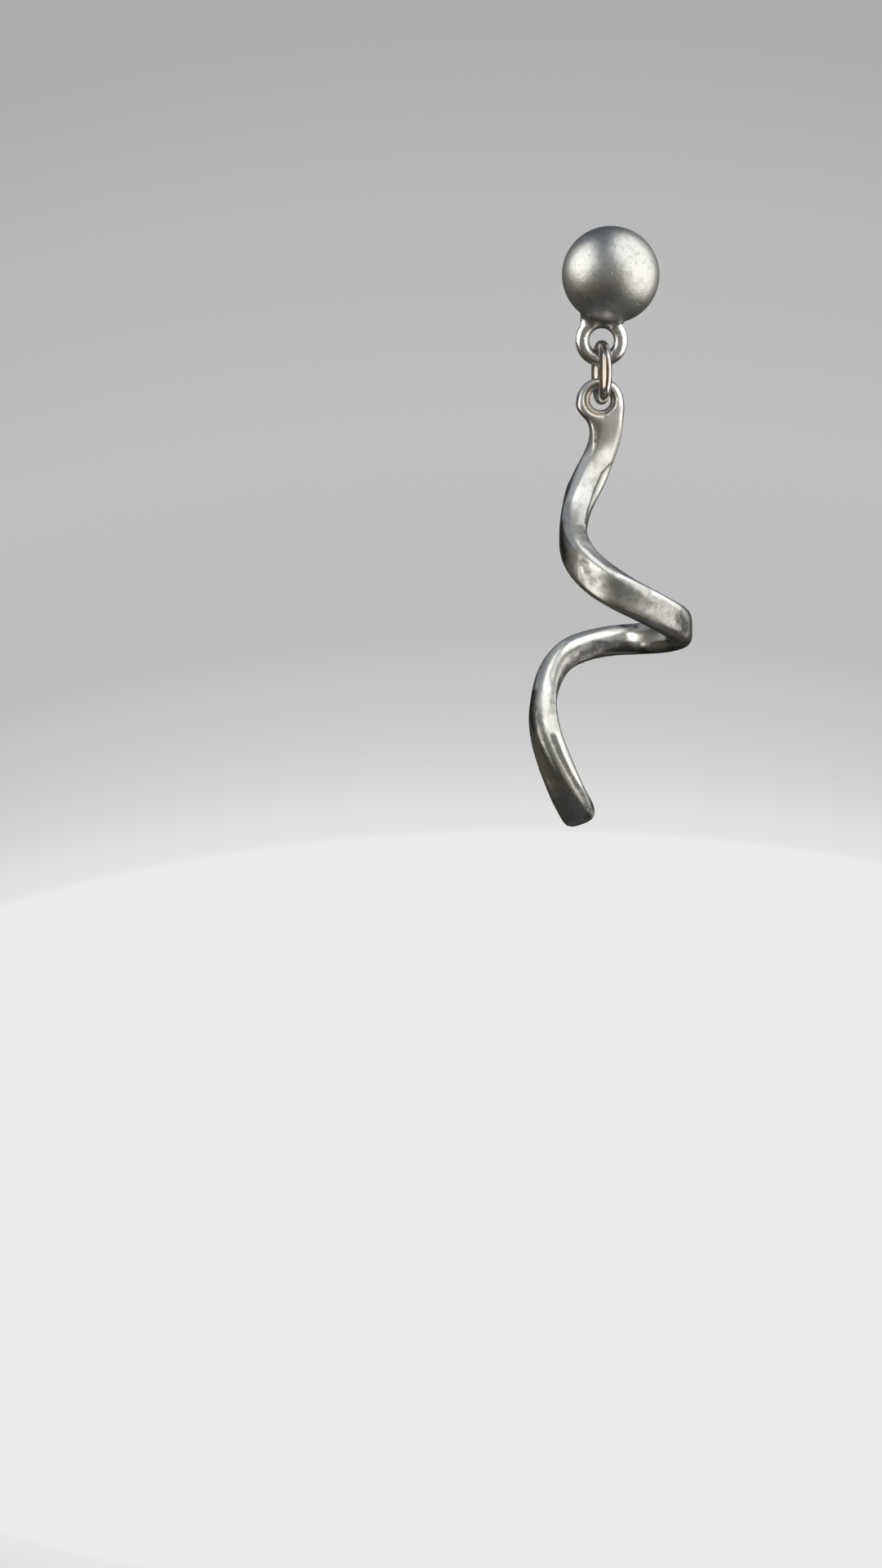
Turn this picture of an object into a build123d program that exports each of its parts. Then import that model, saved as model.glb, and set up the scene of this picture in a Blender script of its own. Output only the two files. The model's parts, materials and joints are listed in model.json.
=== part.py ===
from build123d import *
from math import asin, cos, degrees, radians, sin
import os

# Drop earring: a ball stud with a soldered ring, an ear post, a jump ring and a cast spiral drop.
# Millimetres, +Z up. The front of the earring faces -Y.
# The origin is the middle of the stud's flat back, where it lies against the ear.

# Stud
ball_diameter = 8.0
ball_depth = 5.9            # from the flat back to the front of the ball
back_edge_round = 0.35      # rounding where the ball meets its flat back

# Ear post
post_diameter = 0.8
post_length = 10.0
post_tip_round = 0.3

# Ring soldered to the stud, standing in the XZ plane
loop_wire = 1.15
loop_hole = 2.0
loop_sunk = 0.8             # how far the top of the ring goes up behind the ball's lowest point
loop_set_back = 0.9         # how far the ring's plane lies behind the ball's middle
plumb_side = -0.73          # the line that everything hangs on, sideways from the ball's middle
solder_reach = 1.74         # half the length of the solder across the top of the ring
solder_thickness = 1.0
solder_above_hole = 0.2     # solder left off round the ring's hole
solder_up_ball = 1.2        # how far it goes up behind the ball's lowest point
solder_round = 0.25

# Jump ring
jump_wire = 1.0
jump_diameter = 5.3         # outside
jump_turn = 8.5             # degrees that the ring stands turned about the vertical
jump_seam = 0.1             # gap between its two cut ends
jump_seam_angle = 30.0      # degrees above level, at the back, where the ends meet
hang_gap = 0.04             # clearance where one ring hangs in the next

# Eye of the drop
eye_diameter = 4.06
eye_thickness = 1.5
eye_corner_round = 0.4
eye_hole = 1.6
eye_hole_lift = 0.25        # the hole's middle above the eye's middle
eye_hole_flare = 0.5        # rounding of the hole's two rims
eye_gap = 0.14              # clearance between the eye's hole and the jump ring
eye_lean = 55.0             # degrees from straight up, towards +X, where the jump ring bears in the hole
eye_turn = 180.0            # degrees where the breadth of the eye's own section points

# Cast bar of the drop
drop_length = 34.7          # from the middle of the eye to the lowest point of the tip
coil_radius = 5.0           # middle of the bar to the middle of the coil
coil_side = 0.42            # the coil's middle to the right of the eye's middle
lean_back = 0.6             # how far the tip leans back, so that the drop hangs plumb
bar_face = 2.85             # the coil's outer face, across
bar_thickness = 1.95        # the coil's upper face, across
bar_corner_round = 0.45
tip_round = 0.55
tip_end_corner = 0.18       # what is left of the bar's corner round at the very end of the tip
tip_angles = (0, 30, 60, 90)    # degrees round the quarter circle that ends the tip

# Sections of the neck, from the middle of the eye down.
# down: share of drop_length below the eye's middle
# side, back: share of coil_radius to the right of and behind the coil's middle
# turn: degrees where the outer face looks (180 left, 270 front, 360 right, 450 back)
# breadth: share of eye_diameter, along the direction of turn
# depth: share of eye_thickness, across it
# round: share of eye_corner_round
neck_rows = [
    # down, side, back, turn, breadth, depth, round
    (0.014, -0.080, 0.000, 180, 0.985, 1.00, 1.0),
    (0.029, -0.040, 0.005, 182, 0.885, 1.00, 1.1),
    (0.050, 0.015, 0.020, 186, 0.755, 1.02, 1.4),
    (0.076, 0.010, 0.070, 194, 0.725, 1.12, 1.8),
]

# Sections of the bar below the neck, with the same columns, but breadth is a share of bar_thickness,
# depth a share of bar_face and round a share of bar_corner_round.
# The bar is nearly round at the back of the coil, and flat-faced in front and at the tip.
bar_rows = [
    # down, side, back, turn, breadth, depth, round
    (0.110, -0.06, 0.115, 202, 1.44, 0.69, 1.9),
    (0.150, -0.18, 0.110, 206, 1.43, 0.80, 1.9),
    (0.188, -0.305, 0.05, 204, 1.36, 0.90, 1.8),
    (0.228, -0.415, -0.08, 198, 1.26, 0.99, 1.6),
    (0.272, -0.50, -0.29, 186, 1.18, 1.03, 1.5),
    (0.316, -0.53, -0.57, 189, 1.09, 1.03, 1.4),
    (0.361, -0.45, -0.85, 208, 1.03, 1.05, 1.2),
    (0.390, -0.30, -0.97, 222, 1.00, 1.06, 1.1),
    (0.415, -0.11, -1.06, 234, 1.00, 1.07, 1.0),
    (0.440, 0.14, -1.13, 251, 1.00, 1.07, 1.0),
    (0.463, 0.43, -1.12, 270, 1.00, 1.04, 1.0),
    (0.485, 0.74, -1.00, 286, 1.00, 1.01, 1.1),
    (0.505, 1.01, -0.78, 302, 1.00, 1.00, 1.3),
    (0.519, 1.18, -0.50, 332, 1.00, 1.00, 1.5),
    (0.530, 1.23, -0.16, 358, 1.00, 1.00, 1.7),
    (0.539, 1.20, 0.25, 374, 1.00, 0.97, 1.9),
    (0.546, 1.03, 0.58, 390, 1.00, 0.95, 2.0),
    (0.550, 0.76, 0.84, 410, 1.00, 0.93, 2.0),
    (0.553, 0.40, 1.00, 430, 1.00, 0.90, 2.0),
    (0.557, 0.08, 0.98, 449, 1.00, 0.88, 2.0),
    (0.565, -0.20, 0.85, 468, 1.00, 0.86, 2.0),
    (0.575, -0.42, 0.67, 486, 1.00, 0.87, 2.0),
    (0.592, -0.645, 0.49, 504, 1.00, 0.86, 2.0),
    (0.625, -0.84, 0.36, 522, 1.00, 0.88, 2.0),
    (0.677, -0.975, 0.20, 538, 1.06, 0.98, 1.9),
    (0.750, -1.00, 0.09, 551, 1.16, 1.02, 1.7),
    (0.823, -0.87, 0.06, 572, 1.10, 1.00, 1.3),
    (0.879, -0.72, 0.12, 590, 1.04, 0.98, 1.0),
    (0.935, -0.54, 0.29, 607, 1.04, 0.98, 1.1),
    (0.971, -0.41, 0.44, 616, 1.00, 0.98, 1.3),
]

# Places that follow from the sizes
ball_radius = ball_diameter / 2
ball_y = ball_radius - ball_depth
loop_radius = (loop_hole + loop_wire) / 2
loop_y = ball_y + loop_set_back
loop_z = loop_sunk - ball_radius - loop_radius - loop_wire / 2
link_pivot_z = loop_z - loop_radius
jump_radius = (jump_diameter - jump_wire) / 2
jump_z = link_pivot_z + (loop_wire + jump_wire) / 2 + hang_gap - jump_radius
drop_pivot_z = jump_z - jump_radius
eye_play = (eye_hole - jump_wire) / 2 - eye_gap
eye_hole_x = plumb_side - eye_play * sin(radians(eye_lean))
eye_hole_z = drop_pivot_z - eye_play * cos(radians(eye_lean))
eye_z = eye_hole_z - eye_hole_lift


def make_ball():
    """The ball, cut flat at the back, with the edge of the cut rounded."""
    cut_angle = degrees(asin((ball_depth - ball_radius) / ball_radius))
    ball = Pos(0, ball_y, 0) * Rot(-90, 0, 0) * Sphere(ball_radius, arc_size2=cut_angle, align=None)
    rim = ball.edges().filter_by(GeomType.CIRCLE).sort_by(Axis.Y)[-1]
    return fillet(rim, back_edge_round)


def make_loop():
    """The ring under the ball."""
    return Pos(plumb_side, loop_y, loop_z) * Rot(90, 0, 0) * Torus(loop_radius, loop_wire / 2)


def make_solder():
    """A block of solder with round ends, between the ball and the top of the ring."""
    low = loop_z + loop_hole / 2 + solder_above_hole
    high = -ball_radius + solder_up_ball
    block = extrude(SlotOverall(2 * solder_reach, solder_thickness), amount=high - low)
    block = fillet(block.edges().group_by(Axis.Z)[0], solder_round)
    return Pos(plumb_side, loop_y, low) * block


def make_stud():
    return make_ball() + (make_loop() + make_solder())


def make_post():
    on_its_end = (Align.CENTER, Align.CENTER, Align.MIN)
    post = Rot(-90, 0, 0) * Cylinder(post_diameter / 2, post_length, align=on_its_end)
    tip = post.edges().sort_by(Axis.Y)[-1]
    return fillet(tip, post_tip_round)


def make_jump_ring():
    """Round wire bent to a ring, open by the width of the seam."""
    gap_angle = degrees(jump_seam / jump_radius)
    wire = Pos(jump_radius, 0, 0) * Rot(90, 0, 0) * Circle(jump_wire / 2)
    ring = revolve(wire, axis=Axis.Z, revolution_arc=360 - gap_angle)
    ring = Rot(0, 0, jump_seam_angle + gap_angle / 2) * ring
    ring = Rot(0, 0, 90) * Rot(90, 0, 0) * ring
    return Pos(plumb_side, loop_y, jump_z) * Rot(0, 0, jump_turn) * ring


def bar_sections():
    """Middle, turn, breadth, depth and corner of each section, from the middle of the eye to the tip."""
    coil_x = eye_hole_x + coil_side
    eye_middle = Vector(eye_hole_x, loop_y, eye_z)
    sections = [(eye_middle, eye_turn, eye_diameter, eye_thickness, eye_corner_round)]
    tables = (
        (neck_rows, eye_diameter, eye_thickness, eye_corner_round),
        (bar_rows, bar_thickness, bar_face, bar_corner_round),
    )
    for rows, full_breadth, full_depth, full_round in tables:
        for down, side, back, turn, breadth, depth, rounding in rows:
            x = coil_x + side * coil_radius
            y = loop_y + back * coil_radius + down * lean_back
            z = eye_z - down * drop_length
            sizes = (breadth * full_breadth, depth * full_depth, rounding * full_round)
            sections.append((Vector(x, y, z), turn, *sizes))
    return sections


def run_directions(points):
    """Straight down in the flat neck, then the run of the bar, where the nearer neighbour counts more."""
    level = len(neck_rows)
    directions = [Vector(0, 0, -1)] * level
    for before, here, after in zip(points[level - 1:], points[level:], points[level + 1:]):
        come = here - before
        go = after - here
        run = come * (go.length / come.length) + go * (come.length / go.length)
        directions.append(run.normalized())
    directions.append((points[-1] - points[-2]).normalized())
    return directions


def section_face(middle, run, turn, breadth, depth, corner):
    """A rounded rectangle square to the run, with its outer face looking along turn."""
    outward = Vector(cos(radians(turn)), sin(radians(turn)), 0)
    outward = (outward - run * outward.dot(run)).normalized()
    plane = Plane(origin=middle, x_dir=outward, z_dir=run)
    return plane * RectangleRounded(breadth, depth, corner)


def make_bar():
    """The bar, lofted through its sections."""
    sections = bar_sections()
    directions = run_directions([section[0] for section in sections])
    faces = []
    for (middle, turn, breadth, depth, corner), run in zip(sections, directions):
        faces.append(section_face(middle, run, turn, breadth, depth, corner))
    return loft(faces)


def make_tip():
    """The rounded end of the bar: its last section, drawn in along a quarter circle."""
    sections = bar_sections()
    run = run_directions([section[0] for section in sections])[-1]
    middle, turn, breadth, depth, corner = sections[-1]
    faces = []
    for angle in tip_angles:
        along = tip_round * sin(radians(angle))
        inset = tip_round * (1 - cos(radians(angle)))
        inner_corner = corner + (tip_end_corner - corner) * inset / tip_round
        inner = (breadth - 2 * inset, depth - 2 * inset, inner_corner)
        faces.append(section_face(middle + run * along, run, turn, *inner))
    return loft(faces)


def make_eye_top():
    """The upper half of the eye: half of the first section, swept round the eye's middle."""
    outline = RectangleRounded(eye_diameter, eye_thickness, eye_corner_round)
    half = outline & Pos(eye_diameter / 2, 0) * Rectangle(eye_diameter, eye_diameter)
    return Pos(eye_hole_x, loop_y, eye_z) * revolve(half, axis=Axis.Y, revolution_arc=-180)


def make_hole_cutter():
    """A pin with trumpet ends, which leaves the hole's rims rounded."""
    radius = eye_hole / 2
    half = eye_thickness / 2
    outer = radius + eye_hole_flare
    start = half - eye_hole_flare
    long = half + eye_hole_flare
    with BuildSketch() as profile:
        with BuildLine():
            Line((0, -long), (outer, -long))
            Line((outer, -long), (outer, -half))
            RadiusArc((outer, -half), (radius, -start), -eye_hole_flare)
            Line((radius, -start), (radius, start))
            RadiusArc((radius, start), (outer, half), -eye_hole_flare)
            Line((outer, half), (outer, long))
            Line((outer, long), (0, long))
            Line((0, long), (0, -long))
        make_face()
    pin = revolve(profile.sketch, axis=Axis.Y)
    return Pos(eye_hole_x, loop_y, eye_hole_z) * pin


def make_drop():
    return make_bar() + make_tip() + make_eye_top() - make_hole_cutter()


parts = {
    "stud": make_stud,
    "ear_post": make_post,
    "jump_ring": make_jump_ring,
    "spiral_drop": make_drop,
}

os.makedirs("parts", exist_ok=True)
for name, make in parts.items():
    export_step(make(), f"parts/{name}.step")
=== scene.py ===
import json
from math import cos, pi, radians, sin

import bpy
import numpy as np
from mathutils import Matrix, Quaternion, Vector
from mathutils import noise as noise_field
from mathutils.bvhtree import BVHTree


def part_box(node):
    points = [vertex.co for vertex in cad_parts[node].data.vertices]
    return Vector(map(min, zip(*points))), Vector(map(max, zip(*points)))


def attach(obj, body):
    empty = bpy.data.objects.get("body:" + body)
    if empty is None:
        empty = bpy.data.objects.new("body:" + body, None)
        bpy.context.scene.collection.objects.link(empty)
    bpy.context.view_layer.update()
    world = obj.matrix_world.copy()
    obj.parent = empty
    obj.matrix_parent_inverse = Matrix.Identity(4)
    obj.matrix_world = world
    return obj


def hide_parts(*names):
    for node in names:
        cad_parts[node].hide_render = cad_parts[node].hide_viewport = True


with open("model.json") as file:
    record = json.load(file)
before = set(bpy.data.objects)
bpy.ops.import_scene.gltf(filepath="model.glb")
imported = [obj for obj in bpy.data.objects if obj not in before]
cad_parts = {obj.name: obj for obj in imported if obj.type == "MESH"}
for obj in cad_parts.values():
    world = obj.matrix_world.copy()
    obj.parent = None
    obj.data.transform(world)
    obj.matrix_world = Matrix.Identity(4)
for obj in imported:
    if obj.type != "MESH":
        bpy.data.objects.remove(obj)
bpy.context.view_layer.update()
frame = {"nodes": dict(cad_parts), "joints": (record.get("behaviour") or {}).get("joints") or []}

MM = 0.001

# The photograph's frame and the ball's place in it, in pixels
PHOTO_WIDTH = 1080
PHOTO_HEIGHT = 1920
BALL_MIDDLE = (747.6, 337.0)
BALL_PIXELS = 119.5

# Places on the earring, from the frame
stud_low, stud_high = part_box("stud")
drop_low, drop_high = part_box("spiral_drop")
BALL_RADIUS = (stud_high.x - stud_low.x) / 2
BALL_CENTRE = np.array((0, stud_low.y + BALL_RADIUS, 0))
RING_MIDDLE = sum(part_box("jump_ring"), Vector()) / 2
hinges = {joint["name"]: joint["pos_m"] for joint in frame["joints"]}
EYE_HOLE = np.array(hinges["drop_swing"])            # where the ring carries the drop
PIXEL = 2 * BALL_RADIUS / BALL_PIXELS
BEHIND = Vector((0, 1, 0))                           # the camera's line of sight


def place(column, row, depth):
    """The point that shows at a pixel of the photograph, at a depth behind the ear."""
    return Vector(((column - BALL_MIDDLE[0]) * PIXEL, depth, -(row - BALL_MIDDLE[1]) * PIXEL))


def add_object(name, data):
    """A new object of the scene."""
    thing = bpy.data.objects.new(name, data)
    bpy.context.scene.collection.objects.link(thing)
    return thing


# Node helpers

class Graph:
    """The nodes of a material or a world, with a short call for each kind in use."""

    def __init__(self, tree):
        self.nodes = tree.nodes
        self.links = tree.links

    def feed(self, value, socket):
        """Sets a socket to a number or a colour, or links another node's output to it."""
        if isinstance(value, bpy.types.NodeSocket):
            self.links.new(value, socket)
        elif isinstance(value, tuple):
            socket.default_value = (*value, 1)
        else:
            socket.default_value = value

    def coordinate(self, kind):
        return self.nodes.new("ShaderNodeTexCoord").outputs[kind]

    def split(self, vector):
        node = self.nodes.new("ShaderNodeSeparateXYZ")
        self.feed(vector, node.inputs["Vector"])
        return node.outputs

    def attribute(self, name):
        node = self.nodes.new("ShaderNodeAttribute")
        node.attribute_name = name
        return node.outputs["Fac"]

    def noise(self, position, scale, detail, roughness, distortion=0.0):
        node = self.nodes.new("ShaderNodeTexNoise")
        self.feed(position, node.inputs["Vector"])
        self.feed(scale, node.inputs["Scale"])
        self.feed(detail, node.inputs["Detail"])
        self.feed(roughness, node.inputs["Roughness"])
        self.feed(distortion, node.inputs["Distortion"])
        return node.outputs["Fac"]

    def remap(self, value, low, high, to_low=0.0, to_high=1.0, curve="SMOOTHSTEP"):
        node = self.nodes.new("ShaderNodeMapRange")
        node.interpolation_type = curve
        self.feed(value, node.inputs["Value"])
        self.feed(low, node.inputs["From Min"])
        self.feed(high, node.inputs["From Max"])
        self.feed(to_low, node.inputs["To Min"])
        self.feed(to_high, node.inputs["To Max"])
        return node.outputs["Result"]

    def maths(self, operation, first, second=0.0):
        node = self.nodes.new("ShaderNodeMath")
        node.operation = operation
        self.feed(first, node.inputs[0])
        self.feed(second, node.inputs[1])
        return node.outputs["Value"]

    def mix(self, share, first, second):
        node = self.nodes.new("ShaderNodeMix")
        node.data_type = "RGBA"
        self.feed(share, node.inputs["Factor"])
        self.feed(first, node.inputs["A"])
        self.feed(second, node.inputs["B"])
        return node.outputs["Result"]

    def ramp(self, value, stops):
        """Colours by a value, through stops of value and colour."""
        low, high = stops[0][0], stops[-1][0]
        node = self.nodes.new("ShaderNodeValToRGB")
        self.feed(self.remap(value, low, high, curve="LINEAR"), node.inputs["Fac"])
        elements = node.color_ramp.elements
        while len(elements) < len(stops):
            elements.new(0.5)
        for element, (level, colour) in zip(elements, stops):
            element.position = (level - low) / (high - low)
            element.color = (*colour, 1)
        return node.outputs["Color"]

    def bump(self, height, distance, strength, under=None):
        """A bumpy normal, over another one if given."""
        node = self.nodes.new("ShaderNodeBump")
        self.feed(height, node.inputs["Height"])
        self.feed(distance, node.inputs["Distance"])
        self.feed(strength, node.inputs["Strength"])
        if under is not None:
            self.feed(under, node.inputs["Normal"])
        return node.outputs["Normal"]


def new_material(name):
    """A material, its graph and its shader's inputs."""
    material = bpy.data.materials.new(name)
    material.use_nodes = True
    graph = Graph(material.node_tree)
    return material, graph, graph.nodes["Principled BSDF"].inputs


def dress(piece, material):
    """Gives a piece one material for all its faces."""
    slots = piece.data.materials
    slots.clear()
    slots.append(material)


# Mesh helpers

SKIN = 0.1 * MM                  # the skins' size of face
STEP_PASSES = 6                  # take a skin's first steps out
NORMALS_EVERY = 4                # passes that share one set of normals
SMOOTH_IN = 0.50                 # share of the way to the neighbours' mean, and back again
SMOOTH_OUT = 0.52
WEAR = 0.8                       # share of what stands out that one pass takes away


def points_of(mesh):
    flat = np.empty(len(mesh.vertices) * 3)
    mesh.vertices.foreach_get("co", flat)
    return flat.reshape(-1, 3)


def set_points(mesh, points):
    mesh.vertices.foreach_set("co", points.ravel())
    mesh.update()


def normals_of(mesh):
    flat = np.empty(len(mesh.vertices) * 3)
    mesh.vertex_normals.foreach_get("vector", flat)
    return flat.reshape(-1, 3)


def edges_of(mesh):
    flat = np.empty(len(mesh.edges) * 2, dtype=np.int32)
    mesh.edges.foreach_get("vertices", flat)
    return flat.reshape(-1, 2).astype(int)


def tree_of(mesh):
    """The mesh's faces, ready for rays."""
    return BVHTree.FromPolygons(points_of(mesh).tolist(), [tuple(face.vertices) for face in mesh.polygons])


def shade_smooth(mesh):
    for face in mesh.polygons:
        face.use_smooth = True


def neighbour_mean(rows, pairs):
    """The mean of each point's neighbours."""
    first, second = pairs[:, 0], pairs[:, 1]
    count = np.bincount(np.concatenate((first, second)), minlength=len(rows))
    columns = []
    for column in rows.T:
        total = np.bincount(first, column[second], len(rows))
        total += np.bincount(second, column[first], len(rows))
        columns.append(total / count)
    return np.stack(columns, axis=1)


def blur(values, pairs, passes):
    """Spreads each point's value, or row of values, over its neighbours."""
    rows = values.reshape(len(values), -1)
    for _ in range(passes):
        rows = neighbour_mean(rows, pairs)
    return rows.reshape(values.shape)


def smooth(points, pairs, passes):
    """Takes the small steps out of a skin without shrinking it."""
    for _ in range(passes):
        points = points + SMOOTH_IN * (neighbour_mean(points, pairs) - points)
        points = points - SMOOTH_OUT * (neighbour_mean(points, pairs) - points)
    return points


def move_surface(mesh, points, pairs, passes, step_of):
    """Moves each point along its normal by what step_of makes of its neighbours' height over it."""
    for i in range(passes):
        if i % NORMALS_EVERY == 0:
            set_points(mesh, points)
            normals = normals_of(mesh)
        height = ((neighbour_mean(points, pairs) - points) * normals).sum(axis=1)
        points = points + normals * step_of(height)[:, None]
    return points


def wear_edges(mesh, points, pairs, passes, slack=0.0, share=1.0):
    """Rubs the corners round. Only what stands out moves, and only inwards."""
    def step_of(height):
        return np.minimum(height + slack, 0) * WEAR * share

    return move_surface(mesh, points, pairs, passes, step_of)


def fill_corners(mesh, points, pairs, passes, share):
    """Lets solder run into the hollows. Only hollows move, and only outwards."""
    def step_of(height):
        return np.maximum(height, 0) * share

    return move_surface(mesh, points, pairs, passes, step_of)


def stretch_to(points, low, high, middle):
    """Gives the skin the solid's size again, each side of middle by its own share."""
    points = points - middle
    up = (np.array(high) - middle) / points.max(axis=0)
    down = (np.array(low) - middle) / points.min(axis=0)
    return middle + points * np.where(points > 0, up, down)


def voxel_skin(node, name):
    """A new piece on a node's solid, with an even skin of small faces."""
    draft = add_object(name + "_draft", frame["nodes"][node].data.copy())
    remesh = draft.modifiers.new("skin", "REMESH")
    remesh.mode = "VOXEL"
    remesh.voxel_size = SKIN
    mesh = bpy.data.meshes.new_from_object(draft.evaluated_get(bpy.context.evaluated_depsgraph_get()))
    bpy.data.objects.remove(draft)
    mesh.name = name
    mesh.materials.clear()
    shade_smooth(mesh)
    return add_object(name, mesh)


# Values kept on the points, for the materials

RIDGE_PASSES = 8
RIDGE_FULL = 0.03 * MM           # how far a sharp edge stands out
RAYS = 40
GOLDEN_TURN = 2.39996            # radians from one ray to the next
LEAST_FACING = 0.12              # rays that leave the surface flatter than this don't count
LIFT_OFF = 0.03 * MM             # rays start this far off the surface
SHELTER_PASSES = 6
STROKE_STEP = 0.6                # of a stroke's radius
STROKE_EDGE = 1.5                # a stroke fades out at this many radii, and is full at one less
BEFORE_ALL = -100 * MM           # a depth in front of the whole earring


def store(mesh, name, values):
    layer = mesh.attributes.new(name, "FLOAT", "POINT")
    layer.data.foreach_set("value", np.ascontiguousarray(values, dtype=np.float32))


def store_ridge(mesh):
    """Keeps how far each point stands out from its surroundings: 1 on an edge, -1 in a crease."""
    points = points_of(mesh)
    soft = blur(points, edges_of(mesh), RIDGE_PASSES)
    out = ((points - soft) * normals_of(mesh)).sum(axis=1)
    store(mesh, "ridge", np.clip(out / RIDGE_FULL, -1, 1))


def all_round(count):
    """Directions spread evenly over a sphere."""
    directions = []
    for i in range(count):
        height = 1 - (2 * i + 1) / count
        turn = i * GOLDEN_TURN
        flat = (1 - height * height) ** 0.5
        directions.append(Vector((flat * cos(turn), flat * sin(turn), height)))
    return directions


def store_shelter(mesh, reach, share):
    """Keeps how much of the open space round each point is closed off by metal within reach."""
    points, normals, tree = points_of(mesh), normals_of(mesh), tree_of(mesh)
    rays = all_round(RAYS)
    facing = normals @ np.array([tuple(ray) for ray in rays]).T
    closed = np.zeros(len(points))
    for i, row in enumerate(facing):
        start = Vector(points[i] + normals[i] * LIFT_OFF)
        total = 0.0
        hit = 0.0
        for j in np.flatnonzero(row > LEAST_FACING):
            total += row[j]
            if tree.ray_cast(start, rays[j], reach)[0] is not None:
                hit += row[j]
        closed[i] = hit / total
    store(mesh, "shelter", blur(closed, edges_of(mesh), SHELTER_PASSES) * share)


def spots_along(way, radius):
    """The pixels of a way, and more between them, close enough for a stroke of this radius."""
    spots = [Vector(way[0])]
    for start, end in zip(way, way[1:]):
        start, end = Vector(start), Vector(end)
        steps = int((end - start).length / (STROKE_STEP * radius)) + 1
        spots += [start.lerp(end, (i + 1) / steps) for i in range(steps)]
    return spots


def store_strokes(mesh, name, regions, whole=0.0):
    """Keeps how strongly each point lies in the regions' strokes, and whole as the least."""
    points, tree = points_of(mesh), tree_of(mesh)
    amounts = np.zeros(len(points)) + whole
    for radius, strength, *way in [stroke for strokes in regions.values() for stroke in strokes]:
        for spot in spots_along(way, radius):
            middle = tree.ray_cast(place(spot.x, spot.y, BEFORE_ALL), BEHIND)[0]
            if middle is None:
                continue
            radii = np.linalg.norm(points - np.array(middle), axis=1) / (radius * PIXEL)
            amounts = np.maximum(amounts, strength * np.clip(STROKE_EDGE - radii, 0, 1))
    store(mesh, name, amounts)


# Metals

PEWTER = (0.605, 0.600, 0.575)
PAINTED_HIGHLIGHT_COLOUR = (0.90, 0.89, 0.86)        # bright metal colour for painted highlights and glints


def satin_pewter(name, dark, rough_bright, rough_dark, patch_share, speckle, grain_depth, rim, gloss=0.0):
    """Worn satin pewter: patina in sheltered places and patches, dark spots that are partly patina and
    partly painted shade and painted dark reflections, painted highlights, edges rubbed bright.
    """
    material, graph, shader = new_material(name)
    position = graph.coordinate("Object")
    patches = graph.noise(position, scale=420, detail=5.0, roughness=0.6, distortion=0.4)
    mottle = graph.noise(position, scale=1900, detail=4.0, roughness=0.65)
    grain = graph.noise(position, scale=5200, detail=3.0, roughness=0.6)
    pits = graph.noise(position, scale=2300, detail=2.0, roughness=0.5)
    uneven = graph.noise(position, scale=1100, detail=3.0, roughness=0.6)

    ragged = graph.remap(mottle, 0.30, 0.70, -0.1, 0.1)
    # Dark spots: partly patina, partly painted shade and painted dark reflections.
    spots = graph.maths("ADD", graph.attribute("spots"), ragged)
    patina_and_painted_shade = graph.remap(patches, 0.42, 0.70, 0.0, patch_share)
    for layer in (
        graph.remap(grain, 0.35, 0.70, -0.6 * speckle, 0.6 * speckle),
        graph.remap(mottle, 0.38, 0.66, -speckle, speckle),
        graph.remap(spots, 0.1, 1.05, curve="LINEAR"),
        graph.remap(graph.attribute("shelter"), 0.06, 0.40),
        graph.remap(graph.attribute("ridge"), 0.35, 1.0, 0.0, -0.15),
    ):
        patina_and_painted_shade = graph.maths("ADD", patina_and_painted_shade, layer)

    colour_with_patina_and_shade = graph.mix(patina_and_painted_shade, PEWTER, dark)
    rough = graph.remap(patina_and_painted_shade, 0, 1, rough_bright, rough_dark)
    polished = graph.remap(graph.attribute("polish"), 0, 1, 0, -gloss)
    waves = graph.bump(uneven, 2 * grain_depth, 0.6)
    fine = graph.bump(grain, grain_depth, 0.5, waves)
    pitted = graph.bump(graph.remap(pits, 0.62, 0.75), -grain_depth, 0.6, fine)
    # Painted highlights: the base colour turns to bright metal where the highlight strokes lie.
    graph.feed(graph.mix(graph.attribute("painted_highlight"), colour_with_patina_and_shade, PAINTED_HIGHLIGHT_COLOUR), shader["Base Color"])
    graph.feed(graph.maths("ADD", rough, polished), shader["Roughness"])
    graph.feed(pitted, shader["Normal"])
    graph.feed(1.0, shader["Metallic"])
    graph.feed(rim, shader["Specular Tint"])
    return material


def polished_wire(name, colour, dull, roughness):
    """Bright wire with faint smudges and drawing marks."""
    material, graph, shader = new_material(name)
    position = graph.coordinate("Object")
    smudge = graph.noise(position, scale=900, detail=4.0, roughness=0.6)
    marks = graph.noise(position, scale=6000, detail=2.0, roughness=0.5)
    graph.feed(graph.mix(graph.remap(smudge, 0.35, 0.7), colour, dull), shader["Base Color"])
    graph.feed(graph.remap(smudge, 0.35, 0.7, 0.8 * roughness, 1.4 * roughness), shader["Roughness"])
    graph.feed(graph.bump(marks, 0.002 * MM, 0.4), shader["Normal"])
    graph.feed(1.0, shader["Metallic"])
    return material


stud_metal = satin_pewter(
    "stud_satin",
    dark=(0.34, 0.335, 0.315),
    rough_bright=0.40,
    rough_dark=0.50,
    patch_share=0.35,
    speckle=0.30,
    grain_depth=0.022 * MM,
    rim=(0.28, 0.31, 0.39),
    gloss=0.13,
)
drop_metal = satin_pewter(
    "drop_satin",
    dark=(0.13, 0.128, 0.118),
    rough_bright=0.27,
    rough_dark=0.42,
    patch_share=0.30,
    speckle=0.07,
    grain_depth=0.003 * MM,
    rim=(0.32, 0.34, 0.40),
)
ring_metal = polished_wire("ring_bright", (0.62, 0.58, 0.54), (0.46, 0.41, 0.37), roughness=0.16)
post_metal = polished_wire("post_steel", (0.55, 0.55, 0.55), (0.45, 0.45, 0.45), roughness=0.26)


# Strokes on the metal, by region: radius in pixels, strength, then the pixels on the stroke's way.
# Spots are dark patina in part, and painted shade and painted dark reflections in part; painted highlights
# are bright metal colour painted where highlights and glints show.

# Dark spots on the drop: partly patina, partly painted shade and painted dark reflections.
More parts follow.
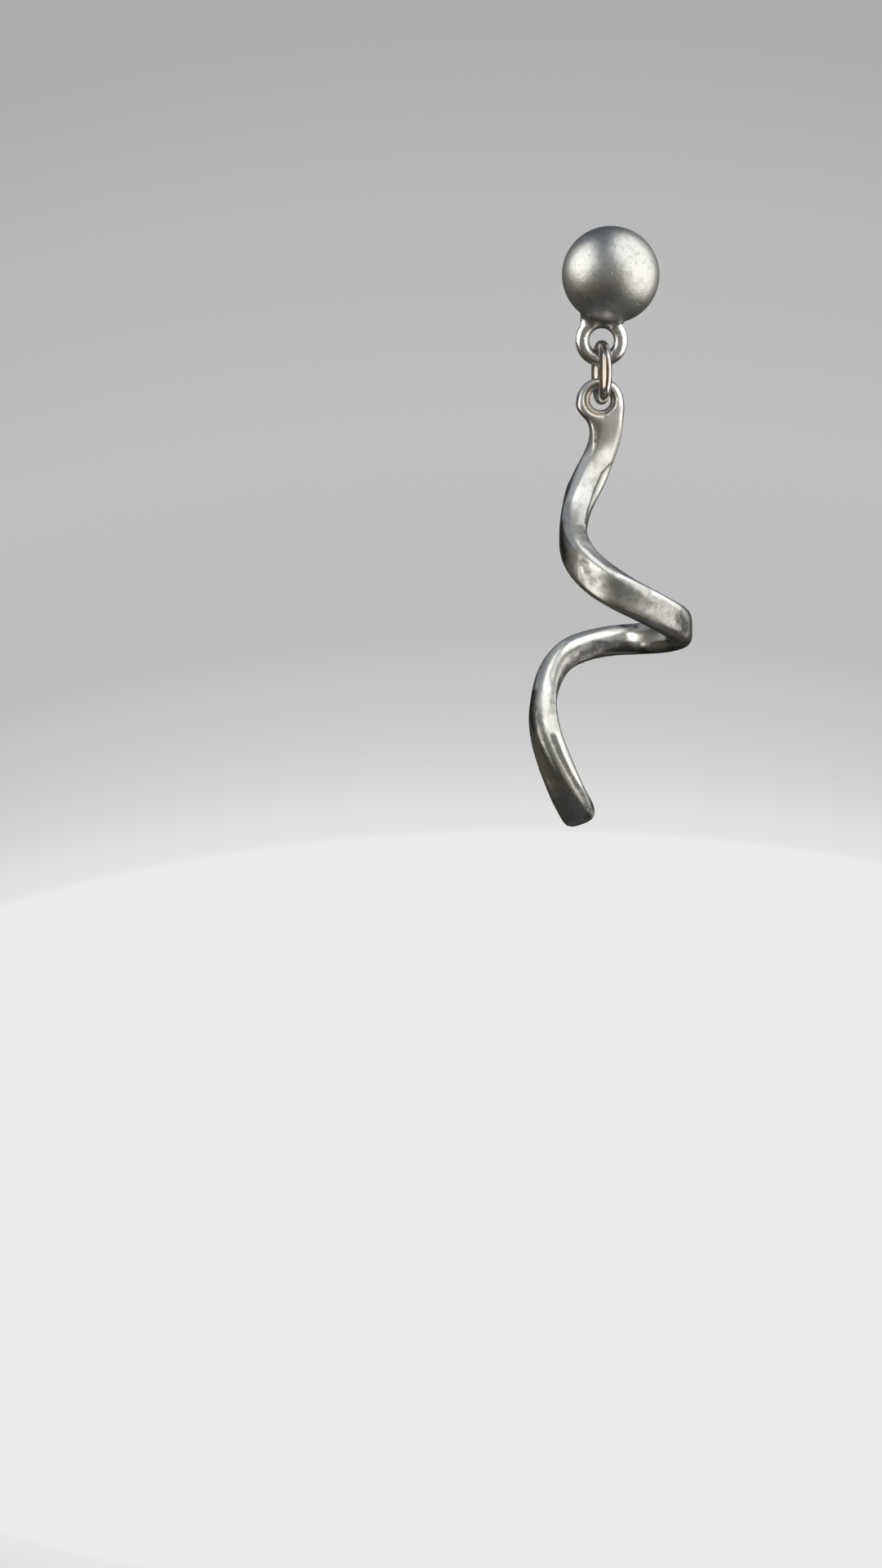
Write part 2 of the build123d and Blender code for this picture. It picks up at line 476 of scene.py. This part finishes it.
DROP_PATINA_AND_PAINTED_SHADE = {
    "neck": (
        (8, 0.15, (734, 520), (735, 545), (735, 558)),
        (2.5, 0.80, (728, 522), (729, 540)),
    ),
    "upper face": (
        (1.4, 1.0, (755, 560), (745, 570), (737, 579), (727, 602), (719, 626), (716, 642)),
        (5, 0.70, (706, 562), (697, 582), (690, 606)),
        (10, 1.0, (686, 648), (687, 664), (690, 682)),
        (8, 0.65, (712, 650), (716, 662)),
    ),
    "front strand": (
        (20, 0.40, (750, 715), (790, 738), (815, 752)),
        (17, 0.58, (757, 718), (772, 730)),
        (6, 0.62, (714, 690), (718, 702)),
        (9, 0.50, (727, 711), (737, 721)),
        (10, 0.40, (768, 728), (780, 740)),
        (11, 0.90, (831, 757), (838, 768)),
        (2, 0.60, (688, 694), (700, 714), (720, 733), (745, 748), (768, 760)),
        (2, 0.60, (710, 667), (730, 686), (750, 702)),
    ),
    "back strand": (
        (7, 1.0, (835, 792), (812, 799), (790, 799)),
        (5, 1.0, (712, 800), (735, 793), (765, 793), (790, 795)),
        (5, 0.90, (728, 787), (755, 788), (782, 789)),
        (4, 0.80, (712, 769), (750, 764), (780, 766)),
    ),
    "bend": (
        (5, 0.60, (708, 795), (699, 804)),
        (5, 0.80, (714, 801), (702, 809), (692, 823), (687, 842)),
        (5, 0.50, (680, 838), (677, 852), (676, 870)),
        (3, 0.35, (662, 846), (665, 873)),
    ),
    "tail": (
        (9, 1.0, (652, 852), (650, 872), (654, 890)),
        (4, 0.90, (657, 868), (660, 884), (663, 896)),
        (8, 0.60, (664, 900), (669, 922), (680, 950)),
        (5, 1.0, (677, 902), (687, 925), (701, 951), (713, 973), (720, 987)),
        (3, 0.45, (705, 915), (722, 965)),
        (7, 1.0, (722, 974), (726, 985), (723, 997)),
        (14, 0.50, (684, 975), (692, 998)),
    ),
}
# Painted highlights and glints on the drop, in bright metal colour.
DROP_PAINTED_HIGHLIGHTS = {
    "eye": (
        (4, 1.0, (709, 498), (708, 484), (712, 471), (720, 464)),
        (5, 1.0, (723, 484), (724, 496)),
        (4, 1.0, (752, 466), (757, 478), (760, 492)),
    ),
    "neck": (
        (9, 0.60, (752, 500), (753, 520), (751, 542), (748, 556)),
        (3, 1.0, (758, 498), (761, 525), (759, 548), (752, 566), (742, 583)),
    ),
    "upper face": (
        (3, 1.0, (742, 583), (732, 606), (725, 628), (721, 642)),
        (6, 1.0, (722, 530), (721, 546), (715, 564), (706, 588), (700, 610)),
    ),
    "front strand": (
        (5, 0.90, (698, 672), (701, 688), (708, 702)),
        (2, 0.80, (757, 706), (790, 720), (800, 725)),
        (4, 1.0, (800, 727), (815, 734), (831, 743)),
        (4, 1.0, (795, 762), (815, 773), (836, 784)),
    ),
    "back strand": (
        (4, 1.0, (700, 788), (720, 779), (745, 777), (768, 778), (785, 779)),
        (2, 1.0, (712, 808), (735, 800), (765, 799), (785, 800)),
    ),
    "bend": (
        (7, 0.90, (691, 788), (681, 802), (675, 820), (671, 840)),
    ),
    "tail": (
        (3, 0.40, (662, 847), (665, 868), (668, 890)),
        (2.5, 1.0, (683, 898), (692, 923), (702, 945), (712, 961)),
    ),
}
# Dark spots on the ball: partly pits and patina, partly painted dark reflections.
STUD_PATINA_AND_PAINTED_SHADE = {
    "ball": (
        (8, 0.4, (733, 338)),
        (12, 0.4, (741, 370)),
        (4, 0.8, (722, 372), (704, 362)),
    ),
}
# Painted highlights on the stud: a painted glint under the ball and painted highlights on the loop.
STUD_PAINTED_HIGHLIGHTS = {
    "ball": (
        (6, 0.9, (741, 387)),
    ),
    "loop": (
        (6, 1.0, (720, 395), (712, 397), (708, 404), (706, 415)),
        (6, 1.0, (752, 400), (758, 407)),
        (6, 0.9, (762, 404), (764, 418)),
    ),
}


# Drop

EDGE_PASSES = 100
EDGE_SLACK = 0.0015 * MM         # roundness that wear leaves alone
NECK_PASSES = 80
WORN_NECK = ((747, 545, 24), (720, 535, 13), (709, 572, 13))     # pixel, and reach in pixels
DROP_FINISH = 16
WAVE_LENGTH = 1.6 * MM
WAVE_HEIGHT = 0.014 * MM
WAVE_SINK = 0.004 * MM           # depth of the waves' middle under the skin
DROP_REACH = 3.5 * MM            # how far shelter is looked for
EYE_BELOW = 4.4 * MM             # depth of the eye under the drop's top, where shelter doesn't count
EYE_FADE = 2 * MM


def make_drop():
    """The cast drop, with a slightly uneven hand-finished surface."""
    piece = voxel_skin("spiral_drop", "drop_skin")
    mesh = piece.data
    pairs = edges_of(mesh)
    points = smooth(points_of(mesh), pairs, STEP_PASSES)
    points = wear_edges(mesh, points, pairs, EDGE_PASSES, EDGE_SLACK)
    for column, row, reach in WORN_NECK:
        middle = place(column, row, 0)
        reaches = np.hypot(points[:, 0] - middle.x, points[:, 2] - middle.z) / (reach * PIXEL)
        points = wear_edges(mesh, points, pairs, NECK_PASSES, share=np.clip(2 - reaches, 0, 1))
    points = smooth(points, pairs, DROP_FINISH)
    points = stretch_to(points, drop_low, drop_high, EYE_HOLE)
    set_points(mesh, points)
    waves = np.array([noise_field.noise(Vector(point) / WAVE_LENGTH) for point in points])
    set_points(mesh, points + normals_of(mesh) * (waves * WAVE_HEIGHT - WAVE_SINK)[:, None])
    store_ridge(mesh)
    below = drop_high.z - points_of(mesh)[:, 2]
    store_shelter(mesh, DROP_REACH, np.clip((below - EYE_BELOW) / EYE_FADE, 0, 1))
    # Dark spots, partly patina and partly painted shade and painted dark reflections.
    store_strokes(mesh, "spots", DROP_PATINA_AND_PAINTED_SHADE)
    # Painted highlights and glints.
    store_strokes(mesh, "painted_highlight", DROP_PAINTED_HIGHLIGHTS)
    dress(piece, drop_metal)
    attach(piece, "drop")
    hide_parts("spiral_drop")
    return piece


# Stud

BALL_NEAR = 0.08 * MM            # how near the ball's surface a point is taken as the ball's
BALL_KEPT = 0.05 * MM            # and still is, once the solder has run
SOLDER_TOP = -0.75               # heights of the solder, in the ball's radii
SOLDER_LOW = -1.45
SOLDER_BLUR = 12
SOLDER_PASSES = 60
STUD_FINISH = 10
STUD_REACH = 2.5 * MM
STUD_SHELTER = 0.5
LOOP_FADE = 0.25 * MM
# Painted highlight over the whole loop, at least this much.
LOOP_PAINTED_HIGHLIGHT = 0.4


def make_stud():
    """The ball and its soldered loop, with solder run into the corner between them."""
    piece = voxel_skin("stud", "stud_skin")
    mesh = piece.data
    pairs = edges_of(mesh)
    points = smooth(points_of(mesh), pairs, STEP_PASSES)
    on_ball = np.abs(np.linalg.norm(points - BALL_CENTRE, axis=1) - BALL_RADIUS) < BALL_NEAR
    height = points[:, 2] / BALL_RADIUS
    corner = np.where((height < SOLDER_TOP) & (height > SOLDER_LOW), 1.0, 0.0)
    points = fill_corners(mesh, points, pairs, SOLDER_PASSES, blur(corner, pairs, SOLDER_BLUR))
    points = smooth(points, pairs, STUD_FINISH)
    out = points - BALL_CENTRE
    far = np.linalg.norm(out, axis=1)
    on_ball &= np.abs(far - BALL_RADIUS) < BALL_KEPT
    points[on_ball] = BALL_CENTRE + out[on_ball] * (BALL_RADIUS / far[on_ball])[:, None]
    set_points(mesh, points)
    off_ball = np.clip((far - BALL_RADIUS) / LOOP_FADE, 0, 1)
    store_ridge(mesh)
    store_shelter(mesh, STUD_REACH, STUD_SHELTER)
    # Dark spots, partly patina and partly painted dark reflections.
    store_strokes(mesh, "spots", STUD_PATINA_AND_PAINTED_SHADE)
    # Painted highlights, and a painted highlight over the whole loop.
    store_strokes(mesh, "painted_highlight", STUD_PAINTED_HIGHLIGHTS, LOOP_PAINTED_HIGHLIGHT * off_ball)
    store(mesh, "polish", off_ball)
    dress(piece, stud_metal)
    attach(piece, "stud")
    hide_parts("stud")
    return piece


drop = make_drop()
stud = make_stud()


# Jump ring and post, which keep their solids

jump_ring = frame["nodes"]["jump_ring"]
ear_post = frame["nodes"]["ear_post"]
for wire, metal in ((jump_ring, ring_metal), (ear_post, post_metal)):
    dress(wire, metal)
    shade_smooth(wire.data)


# Camera

LENS = 250.0                     # mm, on a sensor 36 mm high
SENSOR = 36.0

distance = PHOTO_HEIGHT * PIXEL * LENS / SENSOR
camera_data = bpy.data.cameras.new("camera")
camera_data.lens = LENS
camera_data.sensor_width = SENSOR
camera_data.clip_end = 20.0
camera = add_object("camera", camera_data)
camera.location = place(PHOTO_WIDTH / 2, PHOTO_HEIGHT / 2, RING_MIDDLE.y - distance)
camera.rotation_euler = (pi / 2, 0, 0)
bpy.context.scene.camera = camera


# Stage: a closed drum, painted as a pale round floor in front of a grey wall

DRUM_RADIUS = 1.1
DRUM_REACH = 0.8                 # the drum's half height
DRUM_SIDES = 128
DRUM_PIXEL = (distance + DRUM_RADIUS) / distance * PIXEL     # a pixel's size on the far wall
FLOOR_MIDDLE = (645, 1490)       # pixels
FLOOR_HALF = (1085, 470)

# Grey tones of 255, by height in pixels over the floor's far edge and under its near one
WALL_TONES = ((0, 234), (5, 228), (110, 206), (250, 188), (500, 190), (750, 183), (1050, 170))
FLOOR_TONES = ((0, 234), (12, 230), (45, 226), (200, 224))
DISPLAY_GAMMA = 2.2
GREY_BLUE = 0.993                # blue in the greys, as a share of red and green


def grey_stops(tones):
    """The stops of a ramp, for tones by height."""
    stops = []
    for height, tone in tones:
        level = (tone / 255) ** DISPLAY_GAMMA
        stops.append((height, (level, level, level * GREY_BLUE)))
    return stops


def stage_material():
    """Paint on the drum: an oval of pale floor, and grey that changes with the height over it."""
    material = bpy.data.materials.new("stage_paint")
    material.use_nodes = True
    graph = Graph(material.node_tree)
    graph.nodes.clear()
    across, _, height = graph.split(graph.coordinate("Object"))
    oval_x = camera.location.x + (FLOOR_MIDDLE[0] - PHOTO_WIDTH / 2) * DRUM_PIXEL
    oval_z = camera.location.z - (FLOOR_MIDDLE[1] - PHOTO_HEIGHT / 2) * DRUM_PIXEL

    aside = graph.maths("SUBTRACT", across, oval_x)
    aside = graph.maths("DIVIDE", aside, FLOOR_HALF[0] * DRUM_PIXEL)
    aside = graph.maths("MINIMUM", graph.maths("MULTIPLY", aside, aside), 1.0)
    half = graph.maths("SQRT", graph.maths("SUBTRACT", 1.0, aside))
    half = graph.maths("MULTIPLY", half, FLOOR_HALF[1])
    up = graph.maths("DIVIDE", graph.maths("SUBTRACT", height, oval_z), DRUM_PIXEL)
    wall = graph.ramp(graph.maths("SUBTRACT", up, half), grey_stops(WALL_TONES))
    down = graph.maths("MULTIPLY", up, -1.0)
    floor = graph.ramp(graph.maths("SUBTRACT", down, half), grey_stops(FLOOR_TONES))

    glow = graph.nodes.new("ShaderNodeEmission")
    graph.feed(graph.mix(graph.maths("GREATER_THAN", up, 0.0), floor, wall), glow.inputs["Color"])
    output = graph.nodes.new("ShaderNodeOutputMaterial")
    graph.feed(glow.outputs["Emission"], output.inputs["Surface"])
    return material


def make_stage():
    """The drum, seen by the camera alone."""
    middle = camera.location.z
    turns = [2 * pi * i / DRUM_SIDES for i in range(DRUM_SIDES)]
    ring = [(DRUM_RADIUS * cos(turn), DRUM_RADIUS * sin(turn)) for turn in turns]
    points = [(x, y, middle - DRUM_REACH) for x, y in ring]
    points += [(x, y, middle + DRUM_REACH) for x, y in ring]
    faces = [tuple(range(DRUM_SIDES)), tuple(range(DRUM_SIDES, 2 * DRUM_SIDES))]
    for i in range(DRUM_SIDES):
        j = (i + 1) % DRUM_SIDES
        faces.append((i, j, DRUM_SIDES + j, DRUM_SIDES + i))
    mesh = bpy.data.meshes.new("stage")
    mesh.from_pydata(points, [], faces)
    mesh.materials.append(stage_material())
    stage = add_object("stage", mesh)
    stage.visible_diffuse = False
    stage.visible_glossy = False
    stage.visible_shadow = False
    stage.visible_transmission = False


make_stage()


# Light: the boxes stand close, so the drop, lower down, sees them from another side than the ball

BOX_REACH = 0.5                  # metres from the earring's middle
NEUTRAL = (1.0, 0.995, 0.95)
COOL = (0.97, 0.99, 1.0)
WARM = (1.0, 0.93, 0.84)
SOFT_WARM = (1.0, 0.975, 0.93)

# Azimuth to the right of the camera, elevation and roll in degrees, width, height, radiance, colour
UPPER_BOXES = {
    "key_right": (78, 24, 8, 1.05, 1.60, 1.65, NEUTRAL),
    "key_left": (-80, 25, -35, 0.60, 0.55, 1.95, NEUTRAL),
    "glint": (192, -61, 0, 0.18, 0.10, 2.0, NEUTRAL),
    "mid_front": (0, 20, 0, 0.80, 0.60, 0.09, NEUTRAL),
}
MIDDLE_BOXES = {
    "mid_right": (88, 6, 0, 0.50, 1.60, 1.90, COOL),
    "mid_left": (-30, 4, 0, 0.65, 1.60, 1.50, WARM),
}
LOWER_BOXES = {
    "low_right": (60, 27, 45, 0.90, 1.75, 1.15, NEUTRAL),
    "low_left": (-48, -6, -48, 0.15, 0.65, 2.60, NEUTRAL),
    "low_rim": (125, 6, 0, 0.20, 0.80, 0.80, NEUTRAL),
    "low_front": (25, 2, 0, 0.55, 1.00, 0.25, NEUTRAL),
    "overhead": (-20, 89, 0, 2.10, 2.40, 0.30, SOFT_WARM),
}


def soft_box(name, azimuth, elevation, roll, width, height, radiance, colour, lit):
    """A soft box that faces the earring and lights the pieces of one collection."""
    turn, rise = radians(azimuth), radians(elevation)
    data = bpy.data.lights.new(name, "AREA")
    data.shape = "RECTANGLE"
    data.size = width
    data.size_y = height
    data.energy = radiance * pi * width * height
    data.color = colour
    light = add_object(name, data)
    target = Vector((0, RING_MIDDLE.y, (stud_high.z + drop_low.z) / 2))
    towards = Vector((sin(turn) * cos(rise), -cos(turn) * cos(rise), sin(rise)))
    light.location = target + towards * BOX_REACH
    facing = towards.to_track_quat("Z", "Y") @ Quaternion((0, 0, 1), radians(roll))
    light.rotation_euler = facing.to_euler()
    light.visible_camera = False
    light.light_linking.receiver_collection = lit


for level, boxes, pieces in (
    ("lit_above", UPPER_BOXES, (stud, ear_post)),
    ("lit_between", MIDDLE_BOXES, (jump_ring,)),
    ("lit_below", LOWER_BOXES, (drop,)),
):
    lit = bpy.data.collections.new(level)
    for piece in pieces:
        lit.objects.link(piece)
    for name, values in boxes.items():
        soft_box(name, *values, lit)


# Room light, by the direction's height from straight down to straight up

ROOM_LIGHT = (
    (-1.0, (0.08, 0.08, 0.09)),
    (-0.7, (0.05, 0.045, 0.03)),
    (0.0, (0.14, 0.13, 0.11)),
    (0.7, (0.05, 0.08, 0.13)),
    (1.0, (0.035, 0.065, 0.11)),
)

world = bpy.data.worlds.new("room")
bpy.context.scene.world = world
world.use_nodes = True
room = Graph(world.node_tree)
upwards = room.split(room.coordinate("Generated"))["Z"]
room.feed(room.ramp(upwards, ROOM_LIGHT), room.nodes["Background"].inputs["Color"])

bpy.context.scene.view_settings.view_transform = "Standard"
